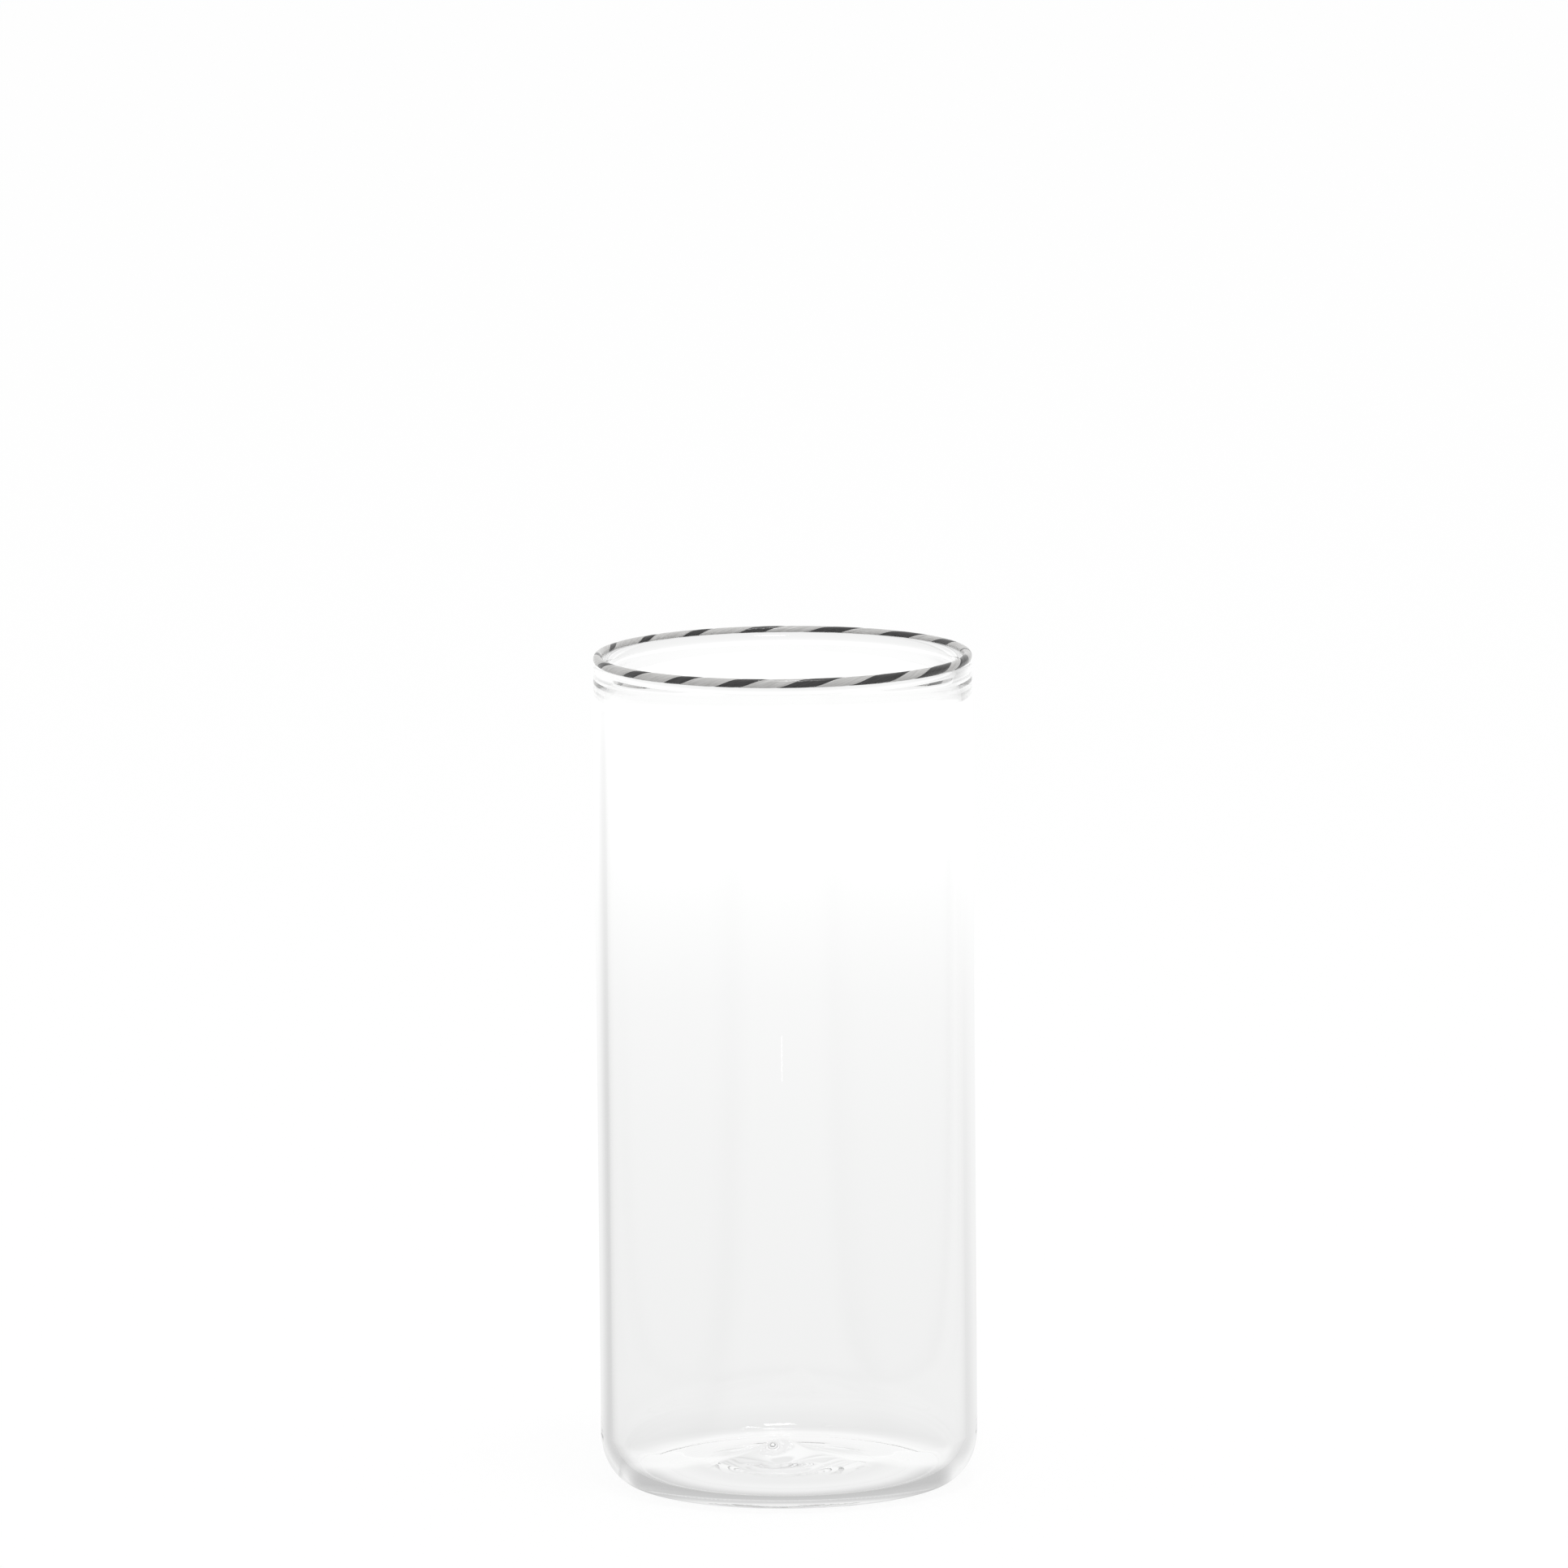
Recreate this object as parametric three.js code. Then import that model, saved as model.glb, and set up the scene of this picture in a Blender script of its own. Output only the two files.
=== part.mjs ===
// Highball glass: a straight, thin-walled tumbler of clear flame-worked glass with a kick in its base.
// A cane of two opaque glass threads, white and black, is twisted and fused round the lip.
// Millimetres, +Z up. The origin is the centre of the face it stands on, and its front looks along -Y.

import { EllipseCurve, Group, LatheGeometry, Mesh, MeshStandardMaterial, Vector2 } from 'three';
import { ParametricGeometry } from 'three/addons/geometries/ParametricGeometry.js';

// Vessel
const outerDiameter = 65;
const overallHeight = 144.2;
const wallThickness = 2;
const baseThickness = 2;

// Bottom corner: a quarter oval outside and one inside, each taller than it is wide
const outerCornerWidth = 6;
const outerCornerHeight = 8.6;
const innerCornerWidth = 4.8;
const innerCornerHeight = 6.8;

// Kick: the peak that rises from the inner corner to the middle, with hollow flanks and a round tip
const kickHeight = 5;
const kickTipRadius = 1.6;

// Hollow under the base, which leaves a flat ring to stand on
const hollowRadius = 21;
const hollowDepth = 2;

// Lip bead, flush with the outside of the wall and swelling inwards
const lipBeadDiameter = 2.8;
const lipFilletRadius = 3;

// Rim cane, laid in a groove of the lip bead and flush with the outside of the wall
const caneDiameter = 1.6;
const caneSink = 0.55;
const stripePitch = 11.66;
const stripeStart = -137;
const seamOffset = 0.2;
const seamGap = 0.2;
const seatGap = 0.2;

// Facets
const bodySegments = 56;
const stepsPerTurn = 12;
const threadArcStep = 26;
const threadFlatSteps = 4;

const degrees = Math.PI / 180;
const outerRadius = outerDiameter / 2;
const innerRadius = outerRadius - wallThickness;
const beadRadius = lipBeadDiameter / 2;
const caneRadius = caneDiameter / 2;

// Centres of the two rounds at the lip, in the plane of the profile
const caneCentre = new Vector2(outerRadius - caneRadius, overallHeight - caneRadius);
const beadCentre = lipBeadCentre();

function lipBeadCentre() {
  const across = caneRadius - beadRadius;
  const apart = beadRadius + caneRadius - caneSink;
  const below = Math.sqrt(apart ** 2 - across ** 2);
  return new Vector2(caneCentre.x + across, caneCentre.y - below);
}

function oval(centre, width, height, from, to, steps) {
  const clockwise = to < from;
  return new EllipseCurve(centre.x, centre.y, width, height, from, to, clockwise).getPoints(steps);
}

function arc(centre, radius, from, to, steps) {
  return oval(centre, radius, radius, from, to, steps);
}

function angleTo(centre, point) {
  return Math.atan2(point.y - centre.y, point.x - centre.x);
}

// The two points where circles cross: first the one to the right of the line from the first centre
function crossings(centreA, radiusA, centreB, radiusB) {
  const along = centreB.clone().sub(centreA);
  const apart = along.length();
  along.normalize();
  const side = new Vector2(along.y, -along.x);
  const reach = (radiusA ** 2 - radiusB ** 2 + apart ** 2) / (2 * apart);
  const half = Math.sqrt(radiusA ** 2 - reach ** 2);
  const middle = centreA.clone().addScaledVector(along, reach);
  return [middle.clone().addScaledVector(side, half), middle.clone().addScaledVector(side, -half)];
}

function joined(...runs) {
  const points = [];
  for (const point of runs.flat()) {
    if (points.length === 0 || point.distanceTo(points.at(-1)) > 1e-6) points.push(point);
  }
  return points;
}

// Underside: a shallow dish, the flat standing ring and the rounded bottom corner
function undersideRun() {
  const dishRadius = (hollowRadius ** 2 + hollowDepth ** 2) / (2 * hollowDepth);
  const dishCentre = new Vector2(0, hollowDepth - dishRadius);
  const dishEdge = angleTo(dishCentre, new Vector2(hollowRadius, 0));
  const cornerCentre = new Vector2(outerRadius - outerCornerWidth, outerCornerHeight);
  return [
    ...arc(dishCentre, dishRadius, 90 * degrees, dishEdge, 5),
    ...oval(cornerCentre, outerCornerWidth, outerCornerHeight, -90 * degrees, 0, 8),
  ];
}

// Lip: up the outside of the bead, through the cane's groove, round the inside and down a fillet to the wall
function lipRun() {
  const grooveRadius = caneRadius + seatGap;
  const [outerEdge, innerEdge] = crossings(beadCentre, beadRadius, caneCentre, grooveRadius);
  const filletAcross = beadCentre.x - (innerRadius - lipFilletRadius);
  const filletBelow = Math.sqrt((beadRadius + lipFilletRadius) ** 2 - filletAcross ** 2);
  const filletCentre = new Vector2(innerRadius - lipFilletRadius, beadCentre.y - filletBelow);
  const grooveFrom = angleTo(caneCentre, outerEdge);
  const grooveTo = angleTo(caneCentre, innerEdge);
  const turn = 360 * degrees;
  const filletTop = angleTo(filletCentre, beadCentre);
  const beadFrom = angleTo(beadCentre, innerEdge);
  const beadTo = angleTo(beadCentre, filletCentre);
  return [
    ...arc(beadCentre, beadRadius, 0, angleTo(beadCentre, outerEdge), 2),
    ...arc(caneCentre, grooveRadius, grooveFrom, grooveTo > grooveFrom ? grooveTo - turn : grooveTo, 5),
    ...arc(beadCentre, beadRadius, beadFrom, beadTo < beadFrom ? beadTo + turn : beadTo, 7),
    ...arc(filletCentre, lipFilletRadius, filletTop, 0, 3),
  ];
}

// Inside: the inner corner, then the hollow-sided kick with its round tip, level where the two meet
function insideRun() {
  const cornerCentre = new Vector2(innerRadius - innerCornerWidth, baseThickness + innerCornerHeight);
  const kickRadius = cornerCentre.x;
  const flankRadius = (kickRadius ** 2 + kickHeight ** 2) / (2 * kickHeight) - kickTipRadius;
  const flankCentre = new Vector2(kickRadius, baseThickness + flankRadius);
  const tipCentre = new Vector2(0, baseThickness + kickHeight - kickTipRadius);
  const tipEdge = angleTo(tipCentre, flankCentre);
  return [
    ...oval(cornerCentre, innerCornerWidth, innerCornerHeight, 0, -90 * degrees, 7),
    ...arc(flankCentre, flankRadius, -90 * degrees, tipEdge - 180 * degrees, 6),
    ...arc(tipCentre, kickTipRadius, tipEdge, 90 * degrees, 3),
  ];
}

function bodyGeometry() {
  const profile = joined(undersideRun(), lipRun(), insideRun());
  return new LatheGeometry(profile, bodySegments).rotateX(90 * degrees);
}

// A thread is the part of the round cane on one side of a flat seam, swept round the rim as the cane twists.
// flatOffset is how far the flat lies from the cane's centre, and facing is where the back looks at first.
function threadGeometry(flatOffset, facing) {
  const halfArc = Math.acos(flatOffset / caneRadius);
  const halfFlat = caneRadius * Math.sin(halfArc);
  const arcSteps = Math.ceil(2 * halfArc / (threadArcStep * degrees));
  const sectionSteps = arcSteps + threadFlatSteps;
  const turns = Math.round(2 * Math.PI * caneCentre.x / stripePitch);

  const section = (v) => {
    const step = v * sectionSteps;
    if (step <= arcSteps) {
      const angle = halfArc * (2 * step / arcSteps - 1);
      return new Vector2(caneRadius * Math.cos(angle), caneRadius * Math.sin(angle));
    }
    const share = (step - arcSteps) / threadFlatSteps;
    return new Vector2(flatOffset, halfFlat * (1 - 2 * share));
  };

  const surface = (u, v, target) => {
    const azimuth = 360 * degrees * u;
    const twist = turns * azimuth + facing * degrees;
    const point = section(v).rotateAround(new Vector2(), twist);
    const radius = caneCentre.x + point.x;
    target.set(radius * Math.sin(azimuth), -radius * Math.cos(azimuth), caneCentre.y + point.y);
  };

  return new ParametricGeometry(surface, Math.round(turns * stepsPerTurn), sectionSteps);
}

function part(name, geometry, look) {
  const mesh = new Mesh(geometry, new MeshStandardMaterial(look));
  mesh.name = name;
  return mesh;
}

const clearGlass = { color: 0xf2f7f6, roughness: 0.03, metalness: 0, transparent: true, opacity: 0.3 };
const whiteGlass = { color: 0xcac9c7, roughness: 0.2, metalness: 0 };
const blackGlass = { color: 0x333334, roughness: 0.15, metalness: 0 };

const highballGlass = new Group();
highballGlass.name = 'highball_glass';
highballGlass.add(
  part('glass_body', bodyGeometry(), clearGlass),
  part('rim_white_thread', threadGeometry(seamGap / 2 - seamOffset, stripeStart + 180), whiteGlass),
  part('rim_black_thread', threadGeometry(seamGap / 2 + seamOffset, stripeStart), blackGlass),
);

export default highballGlass;
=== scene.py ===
import math

import bmesh
import bpy
from mathutils import Matrix, Vector


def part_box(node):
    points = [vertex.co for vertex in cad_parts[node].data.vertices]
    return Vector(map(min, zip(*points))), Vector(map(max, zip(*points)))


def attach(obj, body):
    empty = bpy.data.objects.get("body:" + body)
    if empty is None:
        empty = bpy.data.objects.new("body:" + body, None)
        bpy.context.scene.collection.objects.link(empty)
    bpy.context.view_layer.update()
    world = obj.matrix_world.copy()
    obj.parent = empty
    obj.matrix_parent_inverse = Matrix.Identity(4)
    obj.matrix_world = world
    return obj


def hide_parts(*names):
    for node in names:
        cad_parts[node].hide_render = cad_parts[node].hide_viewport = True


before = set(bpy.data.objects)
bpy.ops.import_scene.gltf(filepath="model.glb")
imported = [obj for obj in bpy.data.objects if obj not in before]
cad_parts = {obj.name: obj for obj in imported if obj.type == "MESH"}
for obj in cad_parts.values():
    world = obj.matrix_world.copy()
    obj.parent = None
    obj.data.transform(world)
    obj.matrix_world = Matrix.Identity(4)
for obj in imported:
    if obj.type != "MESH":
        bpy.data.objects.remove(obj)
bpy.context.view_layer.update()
mm = 0.001
mergeReach = 0.001 * mm
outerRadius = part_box("glass_body")[1].x
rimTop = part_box("rim_white_thread")[1].z
print("frame loaded:", ", ".join(sorted(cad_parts)))


# Drawing helpers: a profile is drawn in the XZ plane with one vertex as the pen
def startProfile(x, z):
    bm = bmesh.new()
    pen = bmesh.ops.create_vert(bm, co=(x, 0, z))["vert"][0]
    return bm, pen


def lineTo(bm, pen, x, z, steps):
    start, end = pen.co.copy(), Vector((x, 0, z))
    for step in range(1, steps + 1):
        pen = bmesh.ops.extrude_vert_indiv(bm, verts=[pen])["verts"][0]
        pen.co = start.lerp(end, step / steps)
    return pen


def arcBy(bm, pen, centre, degrees, steps, stretch=(1, 1)):  # positive degrees turn from X towards Z
    drawn = set(bm.verts)
    middle = Vector((centre[0], 0, centre[1]))
    spun = bmesh.ops.spin(
        bm, geom=[pen], cent=middle, axis=(0, -1, 0), angle=math.radians(degrees), steps=steps)
    fresh = [v for v in bm.verts if v not in drawn]
    bmesh.ops.scale(
        bm, vec=(stretch[0], 1, stretch[1]), space=Matrix.Translation(-middle), verts=fresh)
    return [v for v in spun["geom_last"] if isinstance(v, bmesh.types.BMVert)][0]


def angleOf(centre, point):
    return math.degrees(math.atan2(point[1] - centre[1], point[0] - centre[0]))


def finishMesh(bm, name, material):
    for face in bm.faces:
        face.smooth = True
    mesh = bpy.data.meshes.new(name)
    bm.to_mesh(mesh)
    bm.free()
    mesh.materials.append(material)
    piece = bpy.data.objects.new(name, mesh)
    bpy.context.scene.collection.objects.link(piece)
    return piece


def finishPiece(bm, name, material, node):
    bmesh.ops.remove_doubles(bm, verts=bm.verts[:], dist=mergeReach)
    bmesh.ops.recalc_face_normals(bm, faces=bm.faces[:])
    piece = finishMesh(bm, name, material)
    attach(piece, "root")
    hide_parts(node)


# Shader helpers: each adds nodes to a tree and gives back the output to use
def feed(tree, source, socket):  # a number is set on the socket, anything else is linked to it
    if isinstance(source, (int, float)):
        socket.default_value = source
    else:
        tree.links.new(source, socket)


def addMath(tree, operation, *sources):
    node = tree.nodes.new("ShaderNodeMath")
    node.operation = operation
    for socket, source in zip(node.inputs, sources):
        feed(tree, source, socket)
    return node.outputs[0]


def addRange(tree, source, low, high, toLow=0.0, toHigh=1.0, smooth=False):
    node = tree.nodes.new("ShaderNodeMapRange")
    if smooth:
        node.interpolation_type = "SMOOTHSTEP"
    for name, value in zip(("From Min", "From Max", "To Min", "To Max"), (low, high, toLow, toHigh)):
        node.inputs[name].default_value = value
    tree.links.new(source, node.inputs["Value"])
    return node.outputs["Result"]


def addRamp(tree, source, stops):  # stops are (place, value), and values may pass 1
    ramp = tree.nodes.new("ShaderNodeValToRGB")
    tree.links.new(source, ramp.inputs["Fac"])
    places, values = zip(*stops)
    top = max(values)
    elements = ramp.color_ramp.elements
    elements[0].position, elements[1].position = places[0], places[-1]
    for place in places[1:-1]:
        elements.new(place)
    for element, value in zip(elements, values):
        element.color = (value / top,) * 3 + (1,)
    return addMath(tree, "MULTIPLY", ramp.outputs["Color"], top)


def addMix(tree, factor, low, high):
    node = tree.nodes.new("ShaderNodeMix")
    for name, source in (("Factor", factor), ("A", low), ("B", high)):
        tree.links.new(source, node.inputs[name])
    return node.outputs["Result"]


def addShaderMix(tree, factor, first, second):
    node = tree.nodes.new("ShaderNodeMixShader")
    for socket, source in zip(node.inputs, (factor, first, second)):
        feed(tree, source, socket)
    return node.outputs[0]


def addEmission(tree, strength):
    node = tree.nodes.new("ShaderNodeEmission")
    feed(tree, strength, node.inputs["Strength"])
    return node.outputs[0]


def addSplit(tree, source):
    node = tree.nodes.new("ShaderNodeSeparateXYZ")
    tree.links.new(source, node.inputs[0])
    return node.outputs


def addBump(tree, principled, height, depth):
    bump = tree.nodes.new("ShaderNodeBump")
    bump.inputs["Strength"].default_value = 1
    bump.inputs["Distance"].default_value = depth
    tree.links.new(height, bump.inputs["Height"])
    tree.links.new(bump.outputs["Normal"], principled.inputs["Normal"])


def newMaterial(name):
    material = bpy.data.materials.new(name)
    material.use_nodes = True
    tree = material.node_tree
    return material, tree, tree.nodes["Principled BSDF"]


# Draw lines: the fine streaks and slow ripples that glass keeps from being pulled along Z of the place given
drawLook = {
    "Streak": {"scale": 1, "detail": 4, "span": (0.3, 0.7)},
    "Ripple": {"scale": 0.2, "detail": 1, "span": (0.25, 0.75)},
}


def makeDrawLines():
    tree = bpy.data.node_groups.new("drawLines", "ShaderNodeTree")
    tree.interface.new_socket("Place", in_out="INPUT", socket_type="NodeSocketVector")
    for name in ("Streaks per mm", "Stretch"):
        tree.interface.new_socket(name, in_out="INPUT", socket_type="NodeSocketFloat")
    for name in drawLook:
        tree.interface.new_socket(name, in_out="OUTPUT", socket_type="NodeSocketFloat")
    given, put = tree.nodes.new("NodeGroupInput"), tree.nodes.new("NodeGroupOutput")
    pulled = tree.nodes.new("ShaderNodeCombineXYZ")
    pulled.inputs["X"].default_value = pulled.inputs["Y"].default_value = 1
    tree.links.new(addMath(tree, "DIVIDE", 1, given.outputs["Stretch"]), pulled.inputs["Z"])
    drawn = tree.nodes.new("ShaderNodeVectorMath")
    drawn.operation = "MULTIPLY"
    tree.links.new(given.outputs["Place"], drawn.inputs[0])
    tree.links.new(pulled.outputs[0], drawn.inputs[1])
    fineScale = addMath(tree, "DIVIDE", given.outputs["Streaks per mm"], mm)
    for name, look in drawLook.items():
        noise = tree.nodes.new("ShaderNodeTexNoise")
        noise.inputs["Detail"].default_value = look["detail"]
        tree.links.new(drawn.outputs[0], noise.inputs["Vector"])
        tree.links.new(addMath(tree, "MULTIPLY", fineScale, look["scale"]), noise.inputs["Scale"])
        tree.links.new(addRange(tree, noise.outputs["Fac"], *look["span"]), put.inputs[name])
    return tree


def addDrawLines(tree, place, look):
    lines = tree.nodes.new("ShaderNodeGroup")
    lines.node_tree = drawLines
    lines.inputs["Streaks per mm"].default_value = look["streaksPerMm"]
    lines.inputs["Stretch"].default_value = look["stretch"]
    tree.links.new(place, lines.inputs["Place"])
    return lines.outputs


drawLines = makeDrawLines()


# Clear glass
clearGlass = {
    "ior": 1.47,
    "tint": (0.999, 1.0, 0.999, 1),
    "roughness": 0.0,
    "streaksPerMm": 0.6,
    "stretch": 12,
    "rippleDepth": 0.008 * mm,
}


def makeClearGlass():
    g = clearGlass
    material, tree, principled = newMaterial("clearGlass")
    principled.inputs["Base Color"].default_value = g["tint"]
    principled.inputs["Transmission Weight"].default_value = 1
    principled.inputs["IOR"].default_value = g["ior"]
    principled.inputs["Roughness"].default_value = g["roughness"]
    coords = tree.nodes.new("ShaderNodeTexCoord")
    lines = addDrawLines(tree, coords.outputs["Object"], g)
    addBump(tree, principled, lines["Ripple"], g["rippleDepth"])
    return material


# Opaque glass of the rim threads, streaked along the twist
whiteGlass = {
    "ior": 1.5,
    "dark": (0.5, 0.495, 0.485, 1),
    "light": (0.68, 0.675, 0.665, 1),
    "streaksPerMm": 4,
    "stretch": 14,
    "roughness": (0.14, 0.3),
    "streakDepth": 0.01 * mm,
}
blackGlass = {
    "ior": 1.5,
    "dark": (0.018, 0.018, 0.019, 1),
    "light": (0.055, 0.054, 0.054, 1),
    "streaksPerMm": 4,
    "stretch": 14,
    "roughness": (0.14, 0.34),
    "streakDepth": 0.012 * mm,
}


def makeOpaqueGlass(name, look):
    material, tree, principled = newMaterial(name)
    principled.inputs["IOR"].default_value = look["ior"]
    place = tree.nodes.new("ShaderNodeAttribute")
    place.attribute_name = "canePlace"
    lines = addDrawLines(tree, place.outputs["Vector"], look)
    colour = tree.nodes.new("ShaderNodeMix")
    colour.data_type = "RGBA"
    colour.inputs["A"].default_value, colour.inputs["B"].default_value = look["dark"], look["light"]
    tree.links.new(lines["Streak"], colour.inputs["Factor"])
    tree.links.new(colour.outputs["Result"], principled.inputs["Base Color"])
    rough = addRange(tree, lines["Ripple"], 0, 1, *look["roughness"])
    tree.links.new(rough, principled.inputs["Roughness"])
    addBump(tree, principled, lines["Streak"], look["streakDepth"])
    return material


# Vessel
vessel = {
    "wall": 2.0 * mm,
    "floor": 2.0 * mm,
    "outerCorner": (6.0 * mm, 8.6 * mm),
    "innerCorner": (4.8 * mm, 6.8 * mm),
    "kickHeight": 5.0 * mm,
    "kickRadius": 25.7 * mm,
    "kickTip": 2.4 * mm,
    "kickLean": Vector((-1.3, 0, 0)) * mm,
    "leanReach": 14.0 * mm,
    "backLift": 0.8 * mm,
    "liftFade": 14.0 * mm,
    "ridge": {"radius": 26.0 * mm, "height": 0.25 * mm, "width": 0.8 * mm},
    "lump": {"place": (-1.8 * mm, -2.9 * mm), "height": 1.5 * mm, "width": 1.5 * mm},
    "hollowRadius": 21.0 * mm,
    "hollowDepth": 2.0 * mm,
    "beadRadius": 1.55 * mm,
    "lipFillet": 16.0 * mm,
    "caneRadius": 0.8 * mm,
    "caneSink": 0.55 * mm,
    "slack": 0.01 * mm,
    "segments": 192,
    "steps": {
        "hollow": 14, "standingRing": 4, "outerCorner": 28, "wall": 16, "bead": 48,
        "lipFillet": 16, "innerCorner": 32, "flank": 112, "tip": 10,
    },
}


def drawUnderside(v):
    steps = v["steps"]
    dishRadius = (v["hollowRadius"] ** 2 + v["hollowDepth"] ** 2) / (2 * v["hollowDepth"])
    dish = (0, v["hollowDepth"] - dishRadius)
    across, up = v["outerCorner"]
    bm, pen = startProfile(0, v["hollowDepth"])
    pen = arcBy(bm, pen, dish, angleOf(dish, (v["hollowRadius"], 0)) - 90, steps["hollow"])
    pen = lineTo(bm, pen, outerRadius - across, 0, steps["standingRing"])
    corner = (outerRadius - across, up)
    pen = arcBy(bm, pen, corner, 90, steps["outerCorner"], stretch=(across / up, 1))
    return bm, pen


def drawLip(bm, pen, v):
    steps = v["steps"]
    across = v["caneRadius"] - v["beadRadius"]
    apart = v["beadRadius"] + v["caneRadius"] - v["caneSink"]
    below = math.sqrt(apart ** 2 - across ** 2)
    bead = (outerRadius - v["beadRadius"], rimTop - v["caneRadius"] - below)
    filletX = outerRadius - v["wall"] - v["lipFillet"]
    filletDrop = math.sqrt((v["beadRadius"] + v["lipFillet"]) ** 2 - (bead[0] - filletX) ** 2)
    fillet = (filletX, bead[1] - filletDrop)
    pen = lineTo(bm, pen, outerRadius, bead[1], steps["wall"])
    pen = arcBy(bm, pen, bead, angleOf(bead, fillet) % 360, steps["bead"])
    return arcBy(bm, pen, fillet, -angleOf(fillet, bead), steps["lipFillet"])


def drawInside(bm, pen, v):
    steps = v["steps"]
    inner = outerRadius - v["wall"]
    across, up = v["innerCorner"]
    corner = (inner - across, v["floor"] + up)
    pen = lineTo(bm, pen, inner, corner[1], steps["wall"])
    crease = arcBy(bm, pen, corner, -90, steps["innerCorner"], stretch=(1, up / across))
    flankRadius = (v["kickRadius"] ** 2 + v["kickHeight"] ** 2) / (2 * v["kickHeight"]) - v["kickTip"]
    drop = math.sqrt(flankRadius ** 2 - (v["kickRadius"] - crease.co.x) ** 2)
    flank = (v["kickRadius"], crease.co.z + drop)
    tip = (0, flank[1] - math.sqrt((flankRadius + v["kickTip"]) ** 2 - v["kickRadius"] ** 2))
    edge = angleOf(tip, flank)
    flankTurn = edge - 180 - angleOf(flank, (crease.co.x, crease.co.z))
    pen = arcBy(bm, crease, flank, flankTurn, steps["flank"])
    arcBy(bm, pen, tip, 90 - edge, steps["tip"])


def underAt(reach, v):  # height of the outside below the inside
    across, up = v["outerCorner"]
    past = max(0, (reach - outerRadius + across) / across)
    dish = v["hollowDepth"] * (1 - (reach / v["hollowRadius"]) ** 2)
    return max(dish, up * (1 - math.sqrt(1 - past * past)))


def bendInside(bm, v):  # the kick gets a lump and leans, and the floor rises to a ridge at the back
    inner = outerRadius - v["wall"]
    ridge, lump = v["ridge"], v["lump"]
    for vert in bm.verts:
        reach = vert.co.xy.length
        if reach > inner + v["slack"] or vert.co.z < underAt(reach, v) + v["floor"] / 2:
            continue
        up = min(1, max(0, (vert.co.z - v["floor"]) / v["liftFade"]))
        level = 1 - up * up * (3 - 2 * up)
        back = max(0, vert.co.y / reach) ** 2 if reach > 0 else 0
        away = (reach - ridge["radius"]) / ridge["width"]
        aside = (vert.co.xy - Vector(lump["place"])).length / lump["width"]
        vert.co.z += lump["height"] * math.exp(-aside * aside)
        if reach < v["leanReach"]:
            vert.co += v["kickLean"] * (1 - (reach / v["leanReach"]) ** 2) ** 2
        lift = v["backLift"] * (reach / inner) ** 2 + ridge["height"] * math.exp(-away * away)
        vert.co.z += back * level * lift


def makeVessel(material):
    v = vessel
    bm, pen = drawUnderside(v)
    pen = drawLip(bm, pen, v)
    drawInside(bm, pen, v)
    bmesh.ops.spin(
        bm, geom=bm.verts[:] + bm.edges[:], cent=(0, 0, 0), axis=(0, 0, 1),
        angle=math.radians(360), steps=v["segments"], use_merge=True)
    bendInside(bm, v)
    finishPiece(bm, "clearVessel", material, "glass_body")


# Rim cane: two threads twisted together, with a seam between them that wanders as the cane was wound by hand
cane = {
    "radius": 0.79 * mm,
    "turns": 17,
    "stripeStart": 157,
    "stepsPerTurn": 32,
    "roundSegments": 48,
    "flatCuts": 5,
    "evenSeam": 0.2 * mm,
    "blackShare": 0.42,
    "shareSwing": (0.19, 10),
    "joint": {"place": 102, "spread": 18, "loss": 0.85},
    "drift": [(1, 2.25, 142), (2, 2.0, -7), (3, 2.45, -93)],
    "groove": 0.06,
    "grooveWidth": 0.3,
    "leastSquare": 1e-12,
}


def driftAt(degrees):
    return sum(
        size * math.sin(math.radians(waves * degrees + phase)) for waves, size, phase in cane["drift"])


def seamAt(degrees):
    swing, phase = cane["shareSwing"]
    joint = cane["joint"]
    share = cane["blackShare"] + swing * math.sin(math.radians(degrees + phase))
    away = ((degrees - joint["place"] + 180) % 360 - 180) / joint["spread"]
    share *= 1 - joint["loss"] * math.exp(-away * away)
    return cane["radius"] * math.cos(math.pi * share)


def shapeSection(along, aside, seam):  # moves the seam of a round section and presses a groove at its ends
    c = cane
    r, even = c["radius"], c["evenSeam"]
    if along > even:
        moved = seam + (along - even) * (r - seam) / (r - even)
    else:
        moved = seam + (along - even) * (r + seam) / (r + even)
    wide = math.sqrt(max(r * r - along * along, c["leastSquare"]))
    aside *= math.sqrt(max(r * r - moved * moved, 0)) / wide
    away = (moved - seam) / (c["grooveWidth"] * r)
    press = 1 - c["groove"] * math.exp(-away * away)
    return moved * press, aside * press


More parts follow.
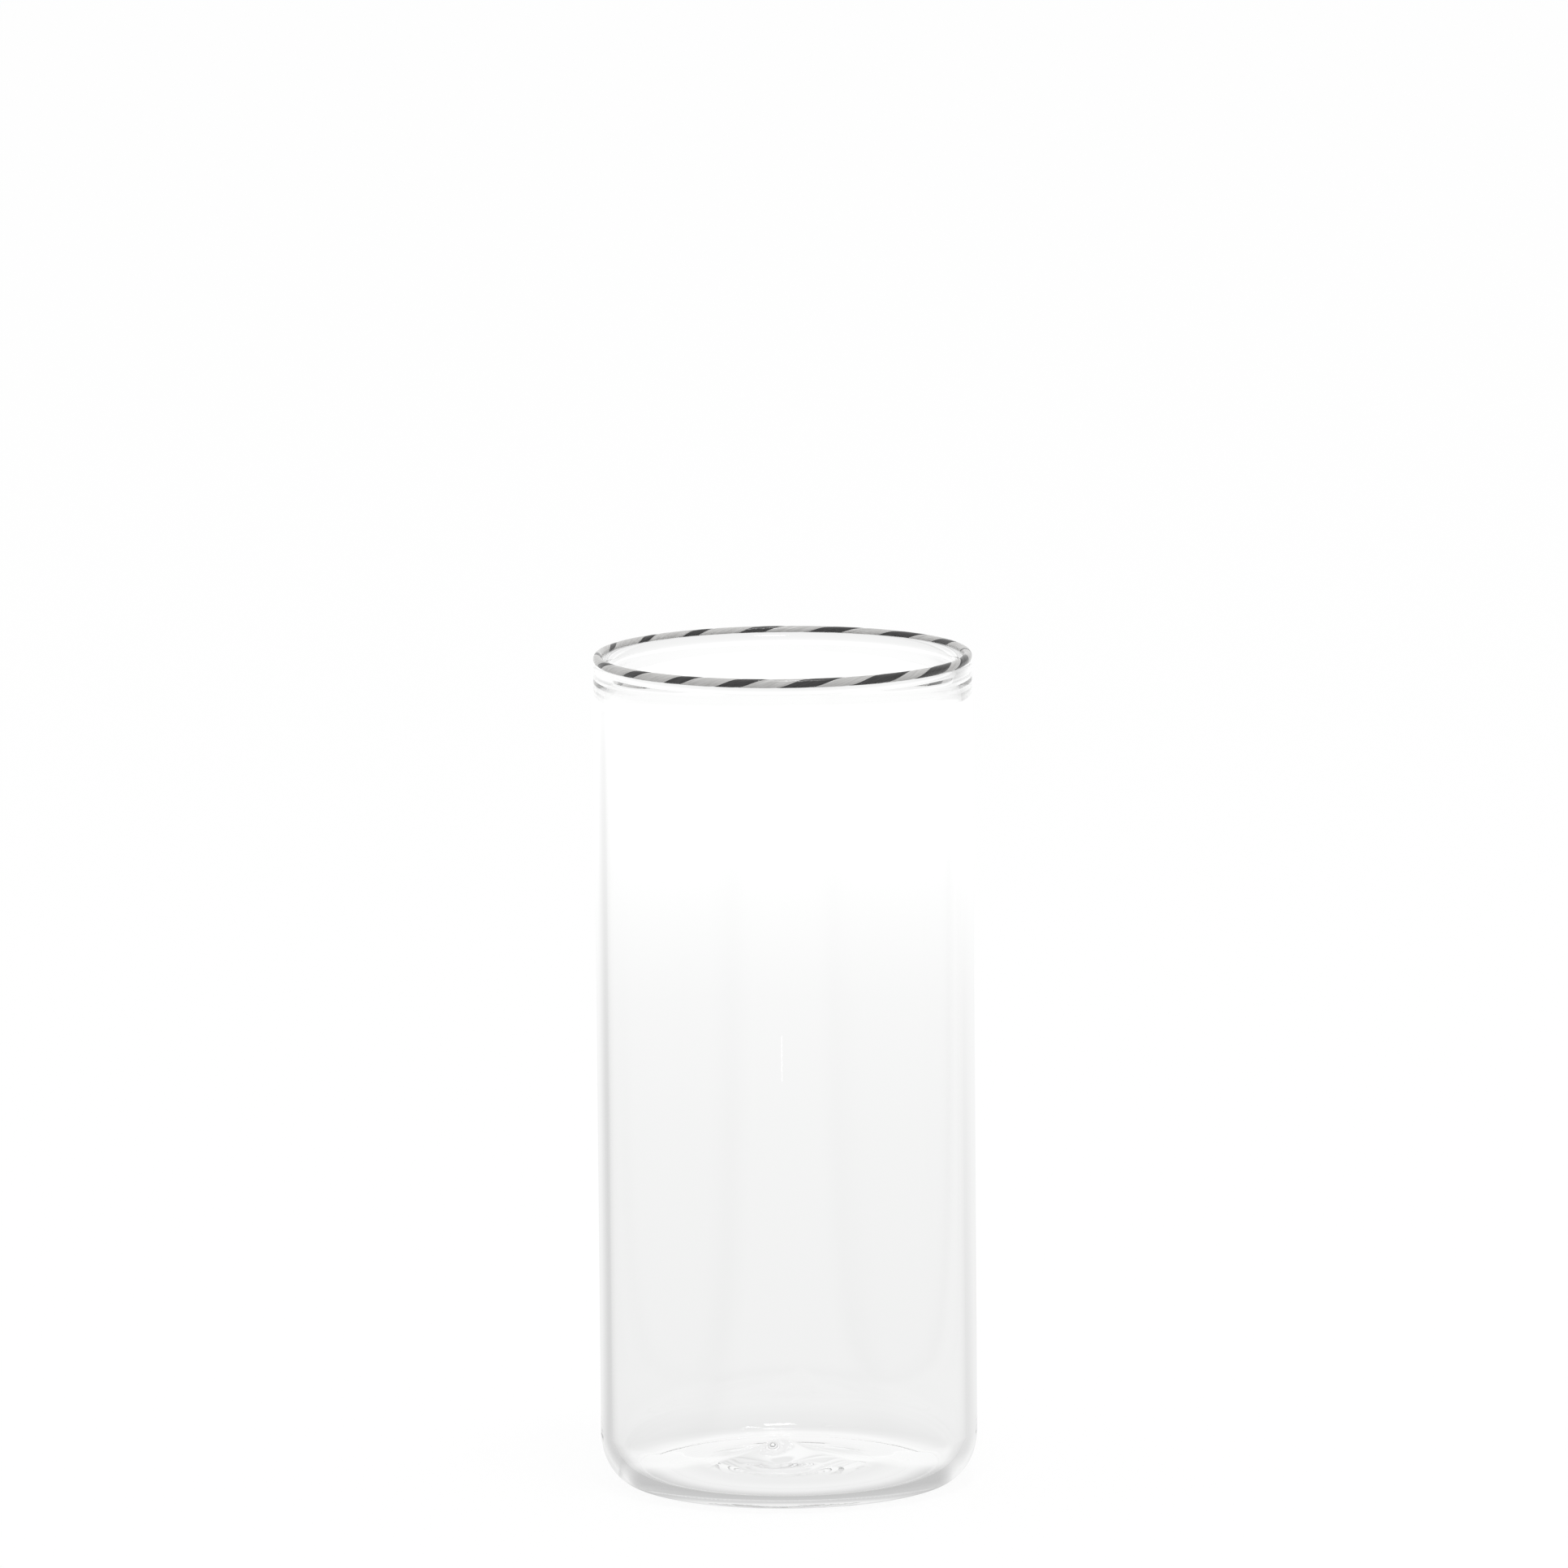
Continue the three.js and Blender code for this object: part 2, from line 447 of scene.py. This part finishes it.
def makeThread(name, node, material, facing, seam):
    c = cane
    ring = outerRadius - vessel["caneRadius"]
    height = rimTop - vessel["caneRadius"]
    length = 2 * math.pi * ring
    steps = c["turns"] * c["stepsPerTurn"]
    bm = bmesh.new()
    upright = Matrix.Rotation(math.radians(90), 4, "Y")
    bmesh.ops.create_circle(bm, segments=c["roundSegments"], radius=c["radius"], matrix=upright)
    toward = Vector((0, math.cos(math.radians(facing)), math.sin(math.radians(facing))))
    bmesh.ops.bisect_plane(
        bm, geom=bm.verts[:] + bm.edges[:], plane_co=toward * seam, plane_no=toward, clear_inner=True)
    ends = [v for v in bm.verts if len(v.link_edges) == 1]
    flat = bmesh.ops.contextual_create(bm, geom=ends)["edges"]
    bmesh.ops.subdivide_edges(bm, edges=flat, cuts=c["flatCuts"])
    bmesh.ops.spin(
        bm, geom=bm.verts[:] + bm.edges[:], cent=(0, 0, 0), axis=(1, 0, 0), dvec=(length / steps, 0, 0),
        angle=math.radians(360 * c["turns"]), steps=steps)
    places = bm.verts.layers.float_vector.new("canePlace")
    for v in bm.verts:  # bend the cane round the rim from its joint, with angles from the front to the right
        share = v.co.x / length
        twist = Matrix.Rotation(math.radians(c["stripeStart"]) + 2 * math.pi * c["turns"] * share, 2)
        degrees = 360 * share + c["joint"]["place"]
        along, aside = twist.transposed() @ v.co.yz
        along, aside = shapeSection(along, aside, seamAt(degrees))
        v[places] = (along, aside, v.co.x)
        across, up = twist @ Vector((along, aside))
        around = math.radians(degrees + driftAt(degrees))
        v.co = ((ring + across) * math.sin(around), -(ring + across) * math.cos(around), height + up)
    finishPiece(bm, name, material, node)


glassMaterial = makeClearGlass()
whiteMaterial = makeOpaqueGlass("whiteGlass", whiteGlass)
blackMaterial = makeOpaqueGlass("blackGlass", blackGlass)
makeVessel(glassMaterial)
start, seam = cane["stripeStart"], cane["evenSeam"]
makeThread("blackThread", "rim_black_thread", blackMaterial, start, seam)
makeThread("whiteThread", "rim_white_thread", whiteMaterial, start + 180, -seam)
print("pieces made")


# Stage: a white table in a light tent. What the glass shows of both is toned by distance and direction; on
# the table these tones are painted light and shade: a painted contact shadow with a painted caustic, painted
# shade on either side, and a painted light falloff.
stage = {
    "size": 12.0,
    "colour": (0.85, 0.85, 0.85, 1),
    "roughness": 0.8,
    "white": 1.03,
    "whiteShare": 0.91,
    "nearReach": 0.06,
    # painted contact shadow ring round the front of the glass, with a painted caustic brighter inside it
    "frontShadowAndCaustic": [
        (0.0, 0.98), (0.25, 1.0), (0.32, 1.08), (0.37, 1.05), (0.43, 0.72),
        (0.48, 0.62), (0.53, 0.64), (0.61, 0.9), (0.7, 1.0), (1.0, 1.0),
    ],
    # painted caustic under the back of the glass, with a thin painted contact shadow ring just outside its
    # foot
    "backShadowAndCaustic": [
        (0.0, 1.0), (0.25, 1.0), (0.33, 1.12), (0.45, 1.14), (0.51, 1.08),
        (0.57, 0.97), (0.63, 0.93), (0.72, 0.955), (1.0, 1.0),
    ],
    "ringFade": (-0.42, 0.0),
    "farReach": 1.0,
    # painted light falloff: the table is darker near the glass and brighter far off
    "lightFalloff": [(0.0, 0.87), (0.12, 0.885), (0.35, 0.915), (0.5, 0.945), (0.7, 1.03), (1.0, 1.1)],
    "sideStart": 0.03,
    "sideSpread": 0.43,
    "sideReach": (-0.2, 0.8),
    # painted shade on the left and right of the table beside the glass, deeper on the left
    "leftTone": [
        (0.0, 1.0), (0.08, 1.0), (0.2, 0.875), (0.28, 0.75),
        (0.35, 0.72), (0.45, 0.82), (0.6, 0.92), (1.0, 0.92),
    ],
    "leftFade": (1.3, 0.4),
    "rightTone": [
        (0.0, 1.0), (0.08, 1.0), (0.2, 0.94), (0.35, 0.865), (0.45, 0.865), (0.65, 1.0), (1.0, 1.0),
    ],
    "rightFade": (0.7, 0.1),
    "skyTurn": [
        (0.0, 1.0), (0.25, 1.0), (0.45, 1.0), (0.515, 1.0), (0.56, 0.85),
        (0.6, 0.66), (0.75, 0.62), (0.8, 0.75), (0.9, 0.95), (1.0, 1.0),
    ],
    "turnFade": (0.3, 0.2),
    "skyTone": [(0.0, 1.0), (0.25, 1.0), (0.31, 0.81), (0.45, 0.84), (1.0, 0.94)],
    "diffuseSky": 0.7,
}


def addPaintedSideShade(tree, x, y, reach):  # painted shade: the table darkens past a line that slants out on either side
    s = stage
    spread = addMath(tree, "MULTIPLY", addMath(tree, "ABSOLUTE", y), s["sideSpread"])
    line = addMath(tree, "ADD", spread, s["sideStart"])
    past = addMath(tree, "SUBTRACT", addMath(tree, "ABSOLUTE", x), line)
    place = addRange(tree, addMath(tree, "DIVIDE", past, reach), *s["sideReach"])
    lost = []
    for name in ("left", "right"):
        depth = addMath(tree, "SUBTRACT", 1.0, addRamp(tree, place, s[name + "Tone"]))
        fade = addRange(tree, reach, *s[name + "Fade"])
        lost.append(addMath(tree, "MULTIPLY", depth, fade))
    onRight = addMath(tree, "GREATER_THAN", x, 0.0)
    return addMath(tree, "SUBTRACT", 1.0, addMix(tree, onRight, *lost))


def addSeen(tree):
    path = tree.nodes.new("ShaderNodeLightPath").outputs
    throughGlass = addMath(tree, "MAXIMUM", path["Is Glossy Ray"], path["Is Transmission Ray"])
    return path["Is Camera Ray"], throughGlass


def makeFloor():
    s = stage
    bm = bmesh.new()
    bmesh.ops.create_grid(bm, x_segments=1, y_segments=1, size=s["size"])
    material, tree, principled = newMaterial("paleFloor")
    principled.inputs["Base Color"].default_value = s["colour"]
    principled.inputs["Roughness"].default_value = s["roughness"]
    principled.inputs["Specular IOR Level"].default_value = 0
    isCamera, throughGlass = addSeen(tree)
    coords = tree.nodes.new("ShaderNodeTexCoord")
    place = addSplit(tree, coords.outputs["Object"])
    x, y = place["X"], place["Y"]
    across = addMath(tree, "MULTIPLY", x, x)
    along = addMath(tree, "MULTIPLY", y, y)
    reach = addMath(tree, "SQRT", addMath(tree, "ADD", across, along))
    close = addRange(tree, reach, 0, s["nearReach"])
    # painted contact shadow rings with painted caustics inside them, one for the front of the glass and one
    # for the back
    frontShadowRing = addRamp(tree, close, s["frontShadowAndCaustic"])
    back = addRamp(tree, close, s["backShadowAndCaustic"])
    # painted light falloff with distance from the glass
    paintedFalloff = addRamp(tree, addRange(tree, reach, 0, s["farReach"]), s["lightFalloff"])
    # the front ring blends into the back ring going round, so the painted shadow lies darker in front of the
    # glass
    behind = addRange(tree, addMath(tree, "DIVIDE", y, reach), *s["ringFade"], smooth=True)
    ring = addMix(tree, behind, frontShadowRing, back)
    # painted shade on either side of the glass
    sideShade = addPaintedSideShade(tree, x, y, reach)
    tone = addMath(tree, "MULTIPLY", ring, addMath(tree, "MULTIPLY", paintedFalloff, sideShade))
    lit = principled.outputs[0]
    pale = addShaderMix(tree, s["whiteShare"], lit, addEmission(tree, s["white"]))
    # glossy and transmission rays see the table with this painted shade and light
    other = addShaderMix(tree, throughGlass, lit, addEmission(tree, tone))
    seen = addShaderMix(tree, isCamera, other, pale)
    tree.links.new(seen, tree.nodes["Material Output"].inputs["Surface"])
    floor = finishMesh(bm, "floor", material)


def makeWorld():
    s = stage
    world = bpy.data.worlds.new("studio")
    bpy.context.scene.world = world
    world.use_nodes = True
    tree = world.node_tree
    isCamera, throughGlass = addSeen(tree)
    coords = tree.nodes.new("ShaderNodeTexCoord")
    place = addSplit(tree, coords.outputs["Generated"])
    turn = addRange(tree, addMath(tree, "ARCTAN2", place["X"], place["Y"]), -math.pi, math.pi)
    depth = addMath(tree, "SUBTRACT", 1.0, addRamp(tree, turn, s["skyTurn"]))
    low = addRange(tree, place["Z"], *s["turnFade"], smooth=True)
    turned = addMath(tree, "SUBTRACT", 1.0, addMath(tree, "MULTIPLY", depth, low))
    tone = addMath(tree, "MULTIPLY", addRamp(tree, place["Z"], s["skyTone"]), turned)
    shown = addMath(tree, "MULTIPLY", tone, throughGlass)
    rest = addMath(tree, "SUBTRACT", 1.0, addMath(tree, "MAXIMUM", throughGlass, isCamera))
    plain = addMath(tree, "MULTIPLY", rest, s["diffuseSky"])
    total = addMath(tree, "ADD", addMath(tree, "ADD", shown, isCamera), plain)
    background = tree.nodes["Background"]
    background.inputs["Color"].default_value = (1, 1, 1, 1)
    tree.links.new(total, background.inputs["Strength"])


# Lamps: they light the glass and are mirrored in it, but don't show themselves or through it
lamps = {
    "overheadSoftbox": {
        "place": (0.1, -0.25, 1.4), "target": (0, 0, 0.1), "size": (0.28, 0.18), "watts": 4,
    },
    "frontGlint": {
        "place": (-0.02, -0.46, 0.005), "target": (0, 0, 0.07), "size": (0.005, 0.009), "watts": 0.0005,
    },
}


def makeLamp(name, place, target, size, watts):
    data = bpy.data.lights.new(name, "AREA")
    data.shape = "RECTANGLE"
    data.size, data.size_y = size
    data.energy = watts
    lamp = bpy.data.objects.new(name, data)
    lamp.location = place
    lamp.rotation_euler = (Vector(target) - Vector(place)).to_track_quat("-Z", "Y").to_euler()
    lamp.visible_camera = False
    lamp.visible_transmission = False
    bpy.context.scene.collection.objects.link(lamp)


makeFloor()
makeWorld()
for name, lamp in lamps.items():
    makeLamp(name, **lamp)
print("stage set")


# Camera, as the photograph was taken
view = {
    "distance": 2.6,
    "elevation": 9.853,
    "roll": 0.492,
    "focalPixels": 18603.8,
    "framePixels": 1932,
    "middlePixel": (968.50, 1314.88),
    "middleHeight": 0.072,
    "sensor": 36.0,
    "farthest": 100,
    "bounces": 256,
}


def makeCamera():
    c = view
    data = bpy.data.cameras.new("photoCamera")
    data.sensor_width = c["sensor"]
    data.lens = c["focalPixels"] / c["framePixels"] * c["sensor"]
    data.clip_end = c["farthest"]
    half = c["framePixels"] / 2
    roll = math.radians(c["roll"])
    across, down = c["middlePixel"][0] - half, c["middlePixel"][1] - half
    sideways = (across * math.cos(roll) - down * math.sin(roll)) / c["focalPixels"]
    downward = (down * math.cos(roll) + across * math.sin(roll)) / c["focalPixels"]
    tilt = math.radians(c["elevation"])
    camera = bpy.data.objects.new("photoCamera", data)
    place = Vector((0, -c["distance"] * math.cos(tilt), c["middleHeight"] + c["distance"] * math.sin(tilt)))
    pitch = math.radians(90) - tilt + math.atan(downward)
    aim = Matrix.Rotation(math.atan(sideways), 4, "Z") @ Matrix.Rotation(pitch, 4, "X")
    camera.matrix_world = Matrix.Translation(place) @ aim @ Matrix.Rotation(-roll, 4, "Z")
    bpy.context.scene.collection.objects.link(camera)
    bpy.context.scene.camera = camera


makeCamera()
bpy.context.scene.view_settings.view_transform = "Standard"
cycles = bpy.context.scene.cycles
cycles.max_bounces = cycles.glossy_bounces = cycles.transmission_bounces = view["bounces"]
print("camera placed")
